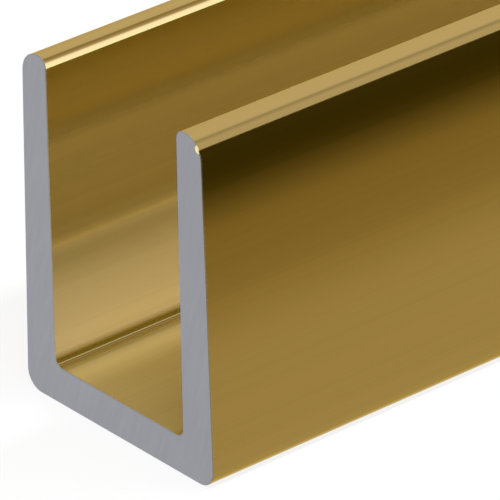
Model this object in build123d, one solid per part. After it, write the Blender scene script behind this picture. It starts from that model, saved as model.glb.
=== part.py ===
from build123d import *
import os
from math import atan, radians, tan

# Glazing U-channel, extruded in one piece and cut to a straight length of stock. Millimetres.
# The section lies in the XZ plane, alike on both sides of X = 0, with its slot open upwards.
# The stock runs along Y, centred on the origin, and lies on its flat underside at Z = 0.

stock_length = 1000.0
channel_height = 25.0
slot_width = 13.0  # clear between the two upright inner faces
floor_thickness = 2.7
leg_root_thickness = 3.0  # leg, measured level with the underside
leg_lip_thickness = 2.4  # leg, measured level with its top: the outer face leans in
heel_radius = 1.4  # outer lower corners
floor_fillet_radius = 0.7  # inner lower corners
crown_inner_radius = 0.7  # slot side of the rounded lip
crown_land_width = 0.15  # narrow flat along the very top of the lip

inner_face_x = slot_width / 2
root_x = inner_face_x + leg_root_thickness
lip_x = inner_face_x + leg_lip_thickness

# The outer round of the lip takes what the inner round and the land leave of the top.
lean_angle = atan((root_x - lip_x) / channel_height)
lip_corner_angle = radians(90) + lean_angle
crown_outer_run = leg_lip_thickness - crown_inner_radius - crown_land_width
crown_outer_radius = crown_outer_run * tan(lip_corner_angle / 2)


def right_leg_corners():
    """Corners of the right leg with their radii, from the heel over the lip to the slot floor."""
    return [
        ((root_x, 0), heel_radius),
        ((lip_x, channel_height), crown_outer_radius),
        ((inner_face_x, channel_height), crown_inner_radius),
        ((inner_face_x, floor_thickness), floor_fillet_radius),
    ]


def channel_section():
    """Closed section: the right leg, then its mirror image walked back down to the left heel."""
    right = right_leg_corners()
    left = [((-x, z), radius) for (x, z), radius in reversed(right)]
    points, radii = zip(*right, *left)
    return make_face(FilletPolyline(*points, radius=radii, close=True))


def u_channel():
    """The section carried along the whole length, half to each side of the origin."""
    return extrude(Plane.XZ * channel_section(), amount=stock_length / 2, both=True)


os.makedirs("parts", exist_ok=True)
channel = u_channel()
export_step(channel, "parts/u_channel.step")
print("u_channel", channel.bounding_box().size, "volume", round(channel.volume))
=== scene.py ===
from math import pi, radians, tan

import bpy
import numpy as np
from mathutils import Matrix, Vector


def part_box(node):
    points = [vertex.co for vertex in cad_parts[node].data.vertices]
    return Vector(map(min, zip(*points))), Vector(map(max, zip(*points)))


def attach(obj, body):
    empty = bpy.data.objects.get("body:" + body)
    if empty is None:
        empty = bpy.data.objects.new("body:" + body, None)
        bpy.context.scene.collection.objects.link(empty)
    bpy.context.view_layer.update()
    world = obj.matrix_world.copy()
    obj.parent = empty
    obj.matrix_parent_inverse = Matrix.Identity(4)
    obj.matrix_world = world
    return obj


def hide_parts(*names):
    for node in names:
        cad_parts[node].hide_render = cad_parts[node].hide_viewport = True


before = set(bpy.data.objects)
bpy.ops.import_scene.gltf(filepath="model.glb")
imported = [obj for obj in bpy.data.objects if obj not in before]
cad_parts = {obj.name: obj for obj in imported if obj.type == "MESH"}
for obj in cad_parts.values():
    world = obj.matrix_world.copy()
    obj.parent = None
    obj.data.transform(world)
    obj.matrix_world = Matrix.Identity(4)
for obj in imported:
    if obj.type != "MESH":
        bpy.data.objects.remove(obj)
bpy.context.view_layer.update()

mm = 0.001
scene = bpy.context.scene
scene.view_settings.view_transform = "Standard"


# One wrapped socket: values take + - * /, and any other node comes from node()
class Wire:
    def __init__(self, tree, socket=None):
        self.tree = tree
        self.socket = socket

    # a node of any kind: its settings first, then values or links for its sockets
    def node(self, kind, settings=None, inputs=None, output=0):
        made = self.tree.nodes.new(kind)
        for name, value in (settings or {}).items():
            if name == "stops":
                fillRamp(made.color_ramp, value)
            else:
                setattr(made, name, value)
        for name, value in (inputs or {}).items():
            if isinstance(value, Wire):
                self.tree.links.new(value.socket, made.inputs[name])
            else:
                made.inputs[name].default_value = value
        return Wire(self.tree, made.outputs[output]) if made.outputs else made

    # another output of the same node
    def pick(self, name):
        return Wire(self.tree, self.socket.node.outputs[name])

    def maths(self, operation, first, second=0.0):
        return self.node("ShaderNodeMath", {"operation": operation}, {0: first, 1: second})

    def __add__(self, other):
        return self.maths("ADD", self, other)

    def __radd__(self, other):
        return self.maths("ADD", other, self)

    def __sub__(self, other):
        return self.maths("SUBTRACT", self, other)

    def __rsub__(self, other):
        return self.maths("SUBTRACT", other, self)

    def __mul__(self, other):
        return self.maths("MULTIPLY", self, other)

    def __rmul__(self, other):
        return self.maths("MULTIPLY", other, self)

    def __truediv__(self, other):
        return self.maths("DIVIDE", self, other)

    def __rtruediv__(self, other):
        return self.maths("DIVIDE", other, self)


def fillRamp(ramp, stops):
    while len(ramp.elements) < len(stops):
        ramp.elements.new(0.5)
    for element, (place, colour) in zip(ramp.elements, stops):
        element.position = place
        element.color = colour


def emptyTree(owner):
    owner.use_nodes = True
    owner.node_tree.nodes.clear()
    return Wire(owner.node_tree)


# The channel's section, as the solid has it
channel = {
    "slotWidth": 13.0 * mm,
    "floorThickness": 2.7 * mm,
    "rootThickness": 3.0 * mm,
    "lipThickness": 2.4 * mm,
    "heelRadius": 1.4 * mm,
    "floorFillet": 0.7 * mm,
    "crownInnerRadius": 0.7 * mm,
    "crownLand": 0.15 * mm,
    "arris": 0.05 * mm,  # edge broken by a file after the saw cut
    "flatSteps": 10,
    "arcSteps": 24,
    "landSteps": 2,
    "lengthSteps": 48,
}

# Flat map for baking, in shares of the square: the walls below, the two sawn faces above them
bakeSheet = {
    "wallTop": 0.74,
    "arrisRow": 0.004,
    "cutBottom": 0.76,
    "cutHeight": 0.23,
    "cutLefts": (0.02, 0.30),
}


# Straight stretch: evenly spaced points from one end up to, but not with, the other,
# all with the outward normal on the right of the walk
def straightRun(start, end, steps):
    share = np.arange(steps)[:, None] / steps
    along = (end - start) / np.linalg.norm(end - start)
    normal = np.array([along[1], -along[0]])
    return start + share * (end - start), np.repeat(normal[None], steps, 0)


# Rounded corner: the tangent length is radius * tan(turn / 2), and the arc's points are
# centre + side * radius * normal while the normal turns evenly from one edge's to the next's
def roundCorner(before, corner, after, radius, steps):
    inward = (corner - before) / np.linalg.norm(corner - before)
    onward = (after - corner) / np.linalg.norm(after - corner)
    turn = np.arctan2(inward[0] * onward[1] - inward[1] * onward[0], inward @ onward)
    side = np.sign(turn)  # +1 round the metal, -1 in the slot's corner
    reach = radius * tan(abs(turn) / 2)
    start, end = corner - reach * inward, corner + reach * onward
    firstNormal = np.array([inward[1], -inward[0]])
    angle = turn * np.arange(steps)[:, None] / steps
    across = np.array([-firstNormal[1], firstNormal[0]])
    normal = np.cos(angle) * firstNormal + np.sin(angle) * across
    centre = start - side * radius * firstNormal
    return start, end, centre + side * radius * normal, normal


# Radius of the lip's outer round: what the inner round and the land leave of the lip's thickness,
# times tan(half the angle between the lip's top and the leaning face)
def crownRadius(height):
    c = channel
    lean = np.arctan((c["rootThickness"] - c["lipThickness"]) / height)
    outerRun = c["lipThickness"] - c["crownInnerRadius"] - c["crownLand"]
    return outerRun * tan((pi / 2 + lean) / 2)


# Right half of the outline, from the middle of the underside over the lip to the middle of the
# slot floor. Both sides of the lip have as many points, so point k faces point -1 - k across the metal
def halfOutline(height):
    c = channel
    innerX = c["slotWidth"] / 2
    rootX, lipX = innerX + c["rootThickness"], innerX + c["lipThickness"]
    corners = np.array([
        (0, 0), (rootX, 0), (lipX, height),
        (innerX, height), (innerX, c["floorThickness"]), (0, c["floorThickness"]),
    ])
    radii = [c["heelRadius"], crownRadius(height), c["crownInnerRadius"], c["floorFillet"]]
    runSteps = [c["flatSteps"], c["flatSteps"], 2 * c["landSteps"], c["flatSteps"], c["flatSteps"]]
    points, normals, here = [], [], corners[0]
    for k, radius in enumerate(radii):
        start, end, arc, arcNormals = roundCorner(*corners[k:k + 3], radius, c["arcSteps"])
        run, runNormals = straightRun(here, start, runSteps[k])
        points += [run, arc]
        normals += [runNormals, arcNormals]
        here = end
    run, runNormals = straightRun(here, corners[-1], runSteps[-1])
    points += [run, corners[-1:]]
    normals += [runNormals, runNormals[-1:]]
    return np.vstack(points), np.vstack(normals)


# The same faces on the other side of the middle: point k becomes point count - k, and each face is
# walked the other way round
def mirrored(faces, count):
    return ((count - faces) % count)[:, ::-1]


# Sawn faces: strips across the metal from each point to the one facing it, a triangle at each lip.
# The left half is the right one mirrored, and the far face is the near one turned over
def cutFaces(halfCount, count, farRing):
    middle = halfCount // 2
    k = np.arange(middle - 1)
    strip = np.stack([k, k + 1, halfCount - 2 - k, halfCount - 1 - k], -1)
    tip = np.array([[middle - 1, middle, middle + 1]])
    quads = np.vstack([strip, mirrored(strip, count)])
    tips = np.vstack([tip, mirrored(tip, count)])
    return np.vstack([quads, quads[:, ::-1] + farRing]), np.vstack([tips, tips[:, ::-1] + farRing])


# The walls unrolled: u is the distance round the outline over the whole way round, v goes along
# the length, with a row of its own for each arris. The sawn faces keep their shape
def bakeMap(mesh, place, ring, point, cutLoops):
    s = bakeSheet
    rings, count = place.shape[:2]
    step = np.roll(place[1], -1, 0) - place[1]
    walked = np.concatenate([[0], np.cumsum(np.linalg.norm(step, axis=1))])
    top, row = s["wallTop"], s["arrisRow"]
    level = np.concatenate([[0], np.linspace(row, top - row, rings - 2), [top]])
    wallU = (walked / walked[-1])[point[..., None] + [0, 0, 1, 1]]
    wallV = level[ring[..., None] + [0, 1, 1, 0]]
    flat = place.reshape(-1, 3)
    scale = s["cutHeight"] / flat[:, 2].max()
    left = np.where(cutLoops < count, *s["cutLefts"])
    cutU = left + (flat[cutLoops, 0] - flat[:, 0].min()) * scale
    cutV = s["cutBottom"] + flat[cutLoops, 2] * scale
    sheet = np.vstack([np.stack([wallU.ravel(), wallV.ravel()], -1), np.stack([cutU, cutV], -1)])
    mesh.uv_layers.new(name="OFBake").data.foreach_set("uv", sheet.ravel())


# The stock: place(ring, point) = outline point - inset(ring) * outline normal, at y(ring).
# Only the first and last rings are inset, by the arris, so the sawn faces have a broken edge
def buildChannel():
    low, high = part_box("u_channel")
    half, halfNormal = halfOutline(high.z)
    flip = np.array([-1, 1])
    outline = np.vstack([half, half[-2:0:-1] * flip])
    normal = np.vstack([halfNormal, halfNormal[-2:0:-1] * flip])
    arris = channel["arris"]
    y = np.linspace(low.y + arris, high.y - arris, channel["lengthSteps"] + 1)
    y = np.concatenate([[low.y], y, [high.y]])
    inset = np.zeros(len(y))
    inset[[0, -1]] = arris
    rings, count = len(y), len(outline)
    flat = outline[None] - inset[:, None, None] * normal[None]
    place = np.empty((rings, count, 3))
    place[..., 0], place[..., 1], place[..., 2] = flat[..., 0], y[:, None], flat[..., 1]

    ring, point = np.meshgrid(np.arange(rings - 1), np.arange(count), indexing="ij")
    nextPoint = (point + 1) % count
    here, onward = ring * count, (ring + 1) * count
    wall = np.stack([here + point, onward + point, onward + nextPoint, here + nextPoint], -1)
    quads, tips = cutFaces(len(half), count, (rings - 1) * count)
    cutLoops = np.concatenate([quads.ravel(), tips.ravel()])
    loops = np.concatenate([wall.ravel(), cutLoops])
    sizes = np.concatenate([np.full(ring.size + len(quads), 4), np.full(len(tips), 3)])
    mesh = bpy.data.meshes.new("channel_stock")
    mesh.vertices.add(rings * count)
    mesh.vertices.foreach_set("co", place.ravel())
    mesh.loops.add(len(loops))
    mesh.loops.foreach_set("vertex_index", loops)
    mesh.polygons.add(len(sizes))
    mesh.polygons.foreach_set("loop_start", np.concatenate([[0], np.cumsum(sizes)[:-1]]))
    mesh.polygons.foreach_set("use_smooth", np.ones(len(sizes), bool))
    atCut = np.where(ring == 0, -1.0, np.where(ring == rings - 2, 1.0, 0.0)).ravel()
    bare = np.concatenate([atCut != 0, np.ones(len(quads) + len(tips), bool)])
    mesh.polygons.foreach_set("material_index", bare.astype(np.int32))
    mesh.update(calc_edges=True)
    mesh.validate()
    bakeMap(mesh, place, ring, point, cutLoops)

    # true normals at every face corner: the outline's on the walls, the cut's on the sawn faces
    facing = np.zeros((len(loops), 3))
    facing[:wall.size, ::2] = normal[wall.ravel() % count]
    facing[:wall.size, 1] = np.repeat(atCut, 4)
    facing[wall.size:, 1] = np.where(cutLoops < count, -1.0, 1.0)
    mesh.normals_split_custom_set(facing / np.linalg.norm(facing, axis=1)[:, None])

    piece = bpy.data.objects.new("channel_stock", mesh)
    scene.collection.objects.link(piece)
    print("channel", rings, "rings of", count, "points")
    return piece


stock = buildChannel()


# Smooth step from 0 at low to 1 at high, or falling where low is the larger
def rise(w, value, low, high):
    return w.node("ShaderNodeMapRange", {"interpolation_type": "SMOOTHSTEP"},
                  {"Value": value, "From Min": low, "From Max": high})


def mixColour(w, share, first, second):
    return w.node("ShaderNodeMix", {"data_type": "RGBA"}, {0: share, 6: first, 7: second}, output=2)


# A colour that goes by place: a ramp through the listed places and colours
def byPlace(w, value, listed):
    low, high = listed[0][0], listed[-1][0]
    stops = [((at - low) / (high - low), (*colour, 1)) for at, colour in listed]
    return w.node("ShaderNodeValToRGB", {"stops": stops}, {0: (value - low) / (high - low)})


# Noise with its own pitch along each axis
def stretchedNoise(w, place, pitch, detail):
    scaled = w.node("ShaderNodeVectorMath", {"operation": "DIVIDE"}, {0: place, 1: pitch})
    return w.node("ShaderNodeTexNoise", inputs={"Vector": scaled, "Scale": 1.0, "Detail": detail})


# How far a point lies from the nearer sawn end
def fromCut(w, y):
    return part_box("u_channel")[1].y - w.maths("ABSOLUTE", y)


# Gold anodising: dyed metal under a clear oxide coat, with faint bands and die lines along the
# press direction. The outside is bright. In the slot the etch left it matt, most of all low
# down, and the corners stayed bright. The matt etch takes a lighter gold, partly painted light
# that brightens the lower walls, and painted shade darkens the slot's left corner. Along the saw
# cut the oxide has chipped off
goldFinish = {
    "gold": (0.625, 0.414, 0.114, 1.0),
    "slotGold": (0.552, 0.453, 0.088, 1.0),
    "wallEtchGoldAndPaintedLight": (0.862, 0.655, 0.310, 1.0),  # partly the dye taking less well on the etch, partly painted light that makes the lower walls brighter than the floor
    "floorEtchGoldAndPaintedLight": (0.730, 0.607, 0.393, 1.0),
    "bareMetal": (0.560, 0.560, 0.600, 1.0),
    "bandPitch": (1.1 * mm, 420 * mm, 1.1 * mm),
    "bandDetail": 2.0,
    "bandTone": 0.10,
    "linePitch": (0.22 * mm, 90 * mm, 0.22 * mm),
    "lineDetail": 3.0,
    "lineTone": 0.12,
    "lineDepth": 0.0012 * mm,
    "lineRoughness": 0.08,
    "outsideRoughness": 0.12,
    "slotRoughness": 0.06,
    "bareRoughness": 0.40,
    "slotEdge": (0.012 * mm, 0.001 * mm),  # past the slot's faces, where the etch ends on the lips
    "slotDepths": (1.1 * mm, 1.6 * mm),  # inside the floor's thickness
    "mattAndPaintedLightByHeight": [  # millimetres up, and how matt the slot is there; the matt share also brings in the lighter etch gold, so it is partly painted light, brightest low on the walls
        (0, 0.45), (3.0, 0.45), (3.6, 0.90), (4.5, 0.92), (8, 0.76), (10, 0.53), (10.5, 0.50),
        (11, 0.56), (11.5, 0.46), (12.2, 0.34), (13, 0.29), (17, 0.31), (18.6, 0.32), (20.2, 0.18),
        (22, 0.18), (23, 0.15), (25, 0.02),
    ],
    "floorHeights": (3.6 * mm, 3.0 * mm),
    "floorFade": (0.1 * mm, 1.2 * mm),
    "wallFade": (0.2 * mm, 0.8 * mm),
    "dyeFade": (0.1 * mm, 0.35 * mm),  # the slot's dye reaches further down than its etch
    "paintedCornerShade": 0.37,  # painted shade: how far the slot's left corner is darkened
    "paintedShadeHeights": (0.55 * mm, 0.15 * mm),
    "paintedShadeReach": (1.9 * mm, 0.4 * mm),
    "chipPitch": (0.12 * mm, 0.12 * mm, 0.12 * mm),
    "chipDetail": 2.0,
    "chipReach": 0.6 * mm,
    "chipLevels": (0.46, 0.52),
    "edgeTint": (1.0, 0.82, 0.45, 1.0),
    "glaze": 0.25,  # shine of the matt etch
    "coatShare": 0.3,
    "coatIor": 1.5,
    "coatRoughness": 0.05,
}


def goldAnodised():
    g, c = goldFinish, channel
    material = bpy.data.materials.new("gold_anodised")
    w = emptyTree(material)
    place = w.node("ShaderNodeTexCoord", output="Object")
    x = w.node("ShaderNodeSeparateXYZ", inputs={0: place})
    y, z = x.pick("Y"), x.pick("Z")
    bands = stretchedNoise(w, place, g["bandPitch"], g["bandDetail"])
    lines = stretchedNoise(w, place, g["linePitch"], g["lineDetail"])
    tone = 1 + (bands - 0.5) * g["bandTone"] + (lines - 0.5) * g["lineTone"]

    insideFace = c["slotWidth"] / 2 - w.maths("ABSOLUTE", x)
    overFloor = z - c["floorThickness"]
    edge, inner = g["slotEdge"]
    inSlot = rise(w, insideFace, -edge, -inner) * rise(w, z, *g["slotDepths"])
    offCorner = rise(w, insideFace, *g["floorFade"])
    etched = inSlot * w.maths("MAXIMUM", offCorner, rise(w, overFloor, *g["wallFade"]))
    slotDyed = inSlot * w.maths("MAXIMUM", offCorner, rise(w, overFloor, *g["dyeFade"]))
    onFloor = rise(w, z, *g["floorHeights"])
    mattAndPaintedLight = etched * byPlace(w, z / mm, [(at, [share] * 3) for at, share in g["mattAndPaintedLightByHeight"]])
    chips = stretchedNoise(w, place, g["chipPitch"], g["chipDetail"])
    chipped = rise(w, chips - fromCut(w, y) / g["chipReach"], *g["chipLevels"])

    # Painted shade: darkens the slot's left corner and thins its coat there
    paintedShade = rise(w, overFloor, *g["paintedShadeHeights"]) * rise(w, insideFace, *g["paintedShadeReach"])
    paintedShade = inSlot * paintedShade * w.maths("LESS_THAN", x, 0.0) * g["paintedCornerShade"]
    # Lighter etch gold where the slot is matt: partly the etch's own colour, partly painted light that
    # brightens the lower walls
    etchGoldAndPaintedLight = mixColour(w, onFloor, g["wallEtchGoldAndPaintedLight"], g["floorEtchGoldAndPaintedLight"])
    slotGold = mixColour(w, mattAndPaintedLight, g["slotGold"], etchGoldAndPaintedLight)
    gold = w.node("ShaderNodeVectorMath", {"operation": "SCALE"},
                  {0: mixColour(w, slotDyed, g["gold"], slotGold), "Scale": tone * (1 - paintedShade)})
    smooth = g["outsideRoughness"] + etched * (g["slotRoughness"] - g["outsideRoughness"])
    smooth = smooth + (lines - 0.5) * g["lineRoughness"]
    shader = w.node("ShaderNodeBsdfPrincipled", inputs={
        "Base Color": mixColour(w, chipped, gold, g["bareMetal"]),
        "Metallic": 1 - mattAndPaintedLight * (1 - chipped),
        "Roughness": smooth + chipped * (g["bareRoughness"] - smooth),
        "Normal": w.node("ShaderNodeBump", inputs={"Distance": g["lineDepth"], "Height": lines}),
        "Specular IOR Level": g["glaze"],
        "Specular Tint": g["edgeTint"],
        "Coat Weight": (1 - chipped) * w.maths("MAXIMUM", g["coatShare"] - paintedShade, 0.0),
        "Coat IOR": g["coatIor"],
        "Coat Roughness": g["coatRoughness"],
    })
    w.node("ShaderNodeOutputMaterial", inputs={"Surface": shader})
    return material


# Bare metal as the saw left it: arcs about the blade's axle, off to one side of the stock, and a
# narrow rim where the edge was broken. The right lip of the near end has a painted highlight,
# a small bright cream patch on its outer round
cutFinish = {
    "darkGrey": (0.284, 0.288, 0.311, 1.0),
    "lightGrey": (0.409, 0.415, 0.446, 1.0),
    "rimGrey": (0.380, 0.380, 0.390, 1.0),
    "rim": (0.1 * channel["arris"], 0.5 * channel["arris"]),
    "axle": (-170 * mm, 0, 60 * mm),
    "markPitch": (0.45 * mm, 1.4),  # across the arcs, and along them in degrees
    "markDetail": 1.0,
    "scratchPitch": (0.07 * mm, 0.6),
    "scratchDetail": 2.0,
    "markShare": 0.6,
    "markDepth": 0.0015 * mm,
    "roughness": 0.5,
    "markRoughness": 0.2,
    # painted highlight: the bright cream patch's colour, place and size
    "paintedGlintGold": (0.97, 0.85, 0.47, 1.0),
    "paintedGlintTurn": 34,  # degrees up from the level, about the middle of the lip's outer round
    "paintedGlintSpread": 12,  # degrees either way
    "paintedGlintDepth": 0.35 * mm,
    "paintedGlintEdge": (1.0, 0.6),
    "paintedGlintRoughness": 0.2,
}


# Distance from a place in the section, and the turn about it, up from the level
def aboutPoint(w, place, centre):
    away = w.node("ShaderNodeVectorMath", {"operation": "SUBTRACT"}, {0: place, 1: centre})
    x = w.node("ShaderNodeSeparateXYZ", inputs={0: away})
    z = x.pick("Z")
    return w.maths("SQRT", x * x + z * z), w.maths("ARCTAN2", z, x)


# Painted highlight: half an ellipse of bright cream on the edge of the right lip's outer round, at the
# near end
def lipPaintedGlint(w, place, y):
    f, c = cutFinish, channel
    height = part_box("u_channel")[1].z
    crown = crownRadius(height)
    middle = (c["slotWidth"] / 2 + c["crownInnerRadius"] + c["crownLand"], 0, height - crown)
    radius, turn = aboutPoint(w, place, middle)
    depth = (crown - radius) / f["paintedGlintDepth"]
    along = (turn - radians(f["paintedGlintTurn"])) / radians(f["paintedGlintSpread"])
    return rise(w, depth * depth + along * along, *f["paintedGlintEdge"]) * w.maths("LESS_THAN", y, 0.0)


# Noise wound round the axle: pitch across the arcs, and along them by angle
def arcNoise(w, radius, turn, pitch, detail):
    wound = w.node("ShaderNodeCombineXYZ", inputs={0: radius / pitch[0], 1: turn / radians(pitch[1])})
    return w.node("ShaderNodeTexNoise", inputs={"Vector": wound, "Scale": 1.0, "Detail": detail})


def sawnMetal():
    f = cutFinish
    material = bpy.data.materials.new("sawn_aluminium")
    w = emptyTree(material)
    place = w.node("ShaderNodeTexCoord", output="Object")
    y = w.node("ShaderNodeSeparateXYZ", inputs={0: place}, output="Y")
    radius, turn = aboutPoint(w, place, f["axle"])
    marks = arcNoise(w, radius, turn, f["markPitch"], f["markDetail"])
    scratches = arcNoise(w, radius, turn, f["scratchPitch"], f["scratchDetail"])
    cut = marks * f["markShare"] + scratches * (1 - f["markShare"])
    face = mixColour(w, cut, f["darkGrey"], f["lightGrey"])
    face = mixColour(w, rise(w, fromCut(w, y), *f["rim"]), face, f["rimGrey"])
    rough = f["roughness"] + (cut - 0.5) * f["markRoughness"]
    paintedGlint = lipPaintedGlint(w, place, y)
    shader = w.node("ShaderNodeBsdfPrincipled", inputs={
        "Base Color": mixColour(w, paintedGlint, face, f["paintedGlintGold"]),
        "Metallic": 1.0,
        "Roughness": rough + paintedGlint * (f["paintedGlintRoughness"] - rough),
        "Normal": w.node("ShaderNodeBump", inputs={"Distance": f["markDepth"], "Height": cut}),
    })
    w.node("ShaderNodeOutputMaterial", inputs={"Surface": shader})
    return material


stock.data.materials.append(goldAnodised())
stock.data.materials.append(sawnMetal())
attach(stock, "root")
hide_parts("u_channel")
print("finishes on", stock.name)


# Camera: a long lens close to the near end, level but for a degree of roll
camera = {
    "turn": 50.0346,
    "height": 28.0196,
    "roll": 1.028,
    "fromNearEnd": (293.90 * mm, -234.98 * mm, 213.82 * mm),
    "focalPixels": 6664,
    "imagePixels": 500,
    "sensorWidth": 36.0,
    "clip": (0.01, 100.0),
}


def buildCamera():
    data = bpy.data.cameras.new("camera")
    data.sensor_width = camera["sensorWidth"]
    data.lens = camera["focalPixels"] / camera["imagePixels"] * data.sensor_width
    data.clip_start, data.clip_end = camera["clip"]
    eye = bpy.data.objects.new("camera", data)
    nearEnd = Vector((0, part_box("u_channel")[0].y, 0))
    turn = Matrix.Rotation(radians(camera["turn"]), 4, "Z")
    tilt = Matrix.Rotation(radians(90 - camera["height"]), 4, "X")
    roll = Matrix.Rotation(radians(-camera["roll"]), 4, "Z")
    eye.matrix_world = Matrix.Translation(nearEnd + Vector(camera["fromNearEnd"])) @ turn @ tilt @ roll
    scene.collection.objects.link(eye)
    scene.camera = eye


buildCamera()


# Studio: pale floor, white surroundings, soft lamps over the slot, and cards that only the metal shows
studio = {
    "floorReach": 40.0,
    "floorTone": (0.16, 0.16, 0.16, 1.0),
    "floorGlow": 0.85,
    "ambient": 0.25,
    "white": (1.0, 1.0, 1.0, 1.0),
}


# 1 where the ray is one that shows the background: straight to the camera, or by way of metal
def showsBackground(w):
    path = w.node("ShaderNodeLightPath", output="Is Camera Ray")
    seen = path + path.pick("Is Glossy Ray") + path.pick("Is Transmission Ray")
    return w.maths("MINIMUM", seen, 1.0)


def buildWorld():
    world = bpy.data.worlds.new("studio")
    scene.world = world
    w = emptyTree(world)
    shown = w.node("ShaderNodeBackground", inputs={"Color": studio["white"], "Strength": 1.0})
    dim = w.node("ShaderNodeBackground", inputs={"Color": studio["white"], "Strength": studio["ambient"]})
    mixed = w.node("ShaderNodeMixShader", inputs={0: showsBackground(w), 1: dim, 2: shown})
    w.node("ShaderNodeOutputWorld", inputs={"Surface": mixed})


def stageMesh(name, points, faces, material):
    mesh = bpy.data.meshes.new(name)
    mesh.from_pydata(points, [], faces)
    mesh.materials.append(material)
    thing = bpy.data.objects.new(name, mesh)
    scene.collection.objects.link(thing)
    return thing


def buildFloor():
    reach = studio["floorReach"]
    material = bpy.data.materials.new("pale_floor")
    w = emptyTree(material)
    diffuse = w.node("ShaderNodeBsdfDiffuse", inputs={"Color": studio["floorTone"]})
    glow = w.node("ShaderNodeEmission", inputs={"Color": studio["white"], "Strength": studio["floorGlow"]})
    both = w.node("ShaderNodeAddShader", inputs={0: diffuse, 1: glow})
    mixed = w.node("ShaderNodeMixShader", inputs={0: showsBackground(w), 1: diffuse, 2: both})
    w.node("ShaderNodeOutputMaterial", inputs={"Surface": mixed})
    points = [(-reach, -reach, 0), (reach, -reach, 0), (reach, reach, 0), (-reach, reach, 0)]
    stageMesh("floor", points, [(0, 1, 2, 3)], material)


# Card that only the metal shows: a line of (x, z) drawn out along the length. It faces the left of the
# walk along the line, is clear from behind, gives matt surfaces no light and casts no shadow
def buildCard(name, line, ends, material):
    count = len(line)
    place = np.empty((2, count, 3))
    place[..., [0, 2]] = line
    place[..., 1] = np.reshape(ends, (2, 1))
    k = np.arange(count - 1)
    faces = np.stack([k, k + 1, count + k + 1, count + k], -1)
    card = stageMesh(name, place.reshape(-1, 3).tolist(), faces.tolist(), material)
    card.visible_camera = False
    card.visible_diffuse = False
    card.visible_transmission = False
    card.visible_shadow = False


# Finish of a card's face: its colour goes by a number worked out from the place, its strength is even.
# cover is another such number, with the levels where the card starts to show and where it shows in full
def cardGlow(name, measure, listed, strength=1.0, cover=None):
    material = bpy.data.materials.new(name)
    w = emptyTree(material)
    place = w.node("ShaderNodeTexCoord", output="Object")
    x = w.node("ShaderNodeSeparateXYZ", inputs={0: place})
    at = w, x, x.pick("Y"), x.pick("Z")
    colour = byPlace(w, measure(*at), listed)
    glow = w.node("ShaderNodeEmission", inputs={"Color": colour, "Strength": strength})
    clear = w.node("ShaderNodeBsdfTransparent")
    shown = 1 - w.node("ShaderNodeNewGeometry", output="Backfacing")
    if cover:
        coverMeasure, none, full = cover
        shown = shown * rise(w, coverMeasure(*at), none, full)
    face = w.node("ShaderNodeMixShader", inputs={0: shown, 1: clear, 2: glow})
    w.node("ShaderNodeOutputMaterial", inputs={"Surface": face})
    return material


# Degrees from straight overhead, then millimetres from the middle, along the stock and up
def turned(w, x, y, z):
    return w.maths("ARCTAN2", x, z) / radians(1)


def aside(w, x, y, z):
    return w.maths("ABSOLUTE", x) / mm


def along(w, x, y, z):
    return y / mm


def upward(w, x, y, z):
    return z / mm


# Arch over the stock: radius * (sin angle, cos angle) across, from the right over the top to the left.
# Its glow goes by that angle: grey with a darker seam a little to the right
arch = {
    "radius": 0.6,
    "ends": (-1.2, 1.6),
    "steps": 120,
    "cast": (1.0, 1.04, 1.20),
    "glow": [
        (-150, 0.52), (-95, 0.56), (-70, 0.68), (-48, 0.76), (0, 0.76), (8, 0.74), (12, 0.60),
        (15, 0.47), (18, 0.45), (22, 0.50), (28, 0.60), (35, 0.66), (92, 0.66),
    ],
}


def buildArch():
    left, right = arch["glow"][0][0], arch["glow"][-1][0]
    angle = np.radians(np.linspace(right, left, arch["steps"] + 1))
    line = arch["radius"] * np.stack([np.sin(angle), np.cos(angle)], -1)
    listed = [(at, [level * part for part in arch["cast"]]) for at, level in arch["glow"]]
    buildCard("arch", line, arch["ends"], cardGlow("arch_card", turned, listed))


# Tan boards on the floor along both sides, from under the heel outwards, with paler ones beyond them.
# Those on the left fade out towards the near end. Colours and fade by place in mm
board = {
    "lift": 0.1 * mm,
    "rightEnds": (-1.5, 2.5),
    "leftEnds": (-0.5, 1.5),
    "leftFade": (-500, -300),
    "glow": [
        (8.6, (0.84, 0.85, 0.72)), (9.1, (0.72, 0.72, 0.59)), (9.4, (0.560, 0.545, 0.450)),
        (13, (0.512, 0.487, 0.395)), (22, (0.500, 0.475, 0.375)), (26, (0.470, 0.437, 0.321)),
        (29, (0.405, 0.362, 0.227)), (32, (0.350, 0.304, 0.167)), (36, (0.315, 0.266, 0.120)),
        (52, (0.260, 0.213, 0.070)),
    ],
    "farGlow": [
        (52, (0.260, 0.213, 0.070)), (75, (0.340, 0.300, 0.170)), (130, (0.460, 0.430, 0.330)),
        (300, (0.500, 0.475, 0.375)), (2000, (0.500, 0.475, 0.375)),
    ],
}


def buildBoards():
    lift = board["lift"]
    for name, listed in [("near", board["glow"]), ("far", board["farGlow"])]:
        even = cardGlow(name + "_right_card", aside, listed)
        fading = cardGlow(name + "_left_card", aside, listed, cover=(along, *board["leftFade"]))
        start, end = listed[0][0] * mm, listed[-1][0] * mm
        buildCard(name + "_right_board", [(start, lift), (end, lift)], board["rightEnds"], even)
        buildCard(name + "_left_board", [(-end, lift), (-start, lift)], board["leftEnds"], fading)


# Dark flag stood close beside the right leg: it draws the dark band under the lip, soft at its lower edge.
# Heights in mm
flag = {
    "x": 11.5 * mm,
    "tone": (0.049, 0.042, 0.002),
    "heights": (14, 25.9),
    "cover": (16, 21),
    "ends": (-0.52, 0.53),
}


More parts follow.
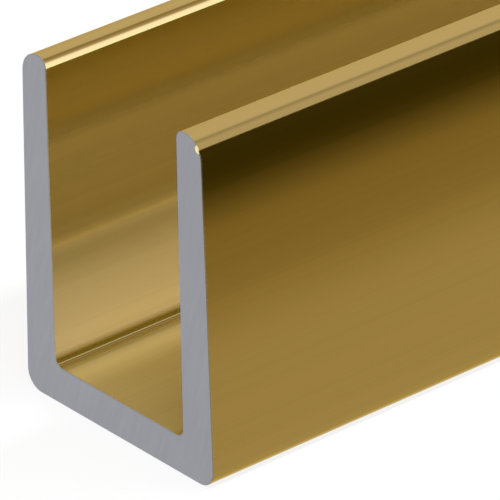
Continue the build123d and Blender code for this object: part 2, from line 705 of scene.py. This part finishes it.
def buildFlag():
    low, high = flag["heights"]
    line = [(flag["x"], low * mm), (flag["x"], high * mm)]
    listed = [(low, flag["tone"]), (high, flag["tone"])]
    material = cardGlow("flag_card", upward, listed, cover=(upward, *flag["cover"]))
    buildCard("flag", line, flag["ends"], material)


# Card stood over the right lip, facing the left one, with a sill that slopes down into the slot's mouth.
# Its cool foot draws the cream line on the left lip, and the grey above it the darker line beside that.
# Colours by height in mm, as shares of the brightest
strip = {
    "line": [(-1.6 * mm, 21.5 * mm), (6.0 * mm, 24.8 * mm), (6.0 * mm, 170 * mm)],
    "ends": (-0.50, 0.50),
    "brightest": 3.36,
    "glow": [
        (21, (0.50, 0.57, 1.00)), (27.5, (0.50, 0.57, 1.00)), (30.6, (0.425, 0.485, 0.820)),
        (34.3, (0.190, 0.200, 0.275)), (39.5, (0.155, 0.150, 0.150)), (48, (0.130, 0.120, 0.097)),
        (60, (0.115, 0.106, 0.074)), (75, (0.115, 0.111, 0.096)), (110, (0.157, 0.157, 0.157)),
        (170, (0.21, 0.21, 0.21)),
    ],
}


def buildStrip():
    material = cardGlow("strip_card", upward, strip["glow"], strip["brightest"])
    buildCard("strip", strip["line"], strip["ends"], material)


# Strip lamps along the stock: angle from straight overhead, distance, size and radiance
lamps = {
    "overhead": {"angle": 0.0, "distance": 0.5, "width": 0.20, "length": 3.0, "radiance": 0.2},
    "key": {"angle": 24.0, "distance": 0.5, "width": 0.04, "length": 3.0, "radiance": 21.8},
}


def buildLamp(name, angle, distance, width, length, radiance):
    data = bpy.data.lights.new(name, "AREA")
    data.shape = "RECTANGLE"
    data.size, data.size_y = width, length
    data.energy = radiance * pi * width * length
    lamp = bpy.data.objects.new(name, data)
    tilt = Matrix.Rotation(radians(angle), 4, "Y")
    lamp.matrix_world = tilt @ Matrix.Translation((0, 0, distance))
    lamp.visible_glossy = False  # the cards are what the metal shows
    lamp.visible_camera = False
    scene.collection.objects.link(lamp)


buildWorld()
buildFloor()
buildArch()
buildBoards()
buildFlag()
buildStrip()
for name, lamp in lamps.items():
    buildLamp(name, **lamp)
print("studio ready")
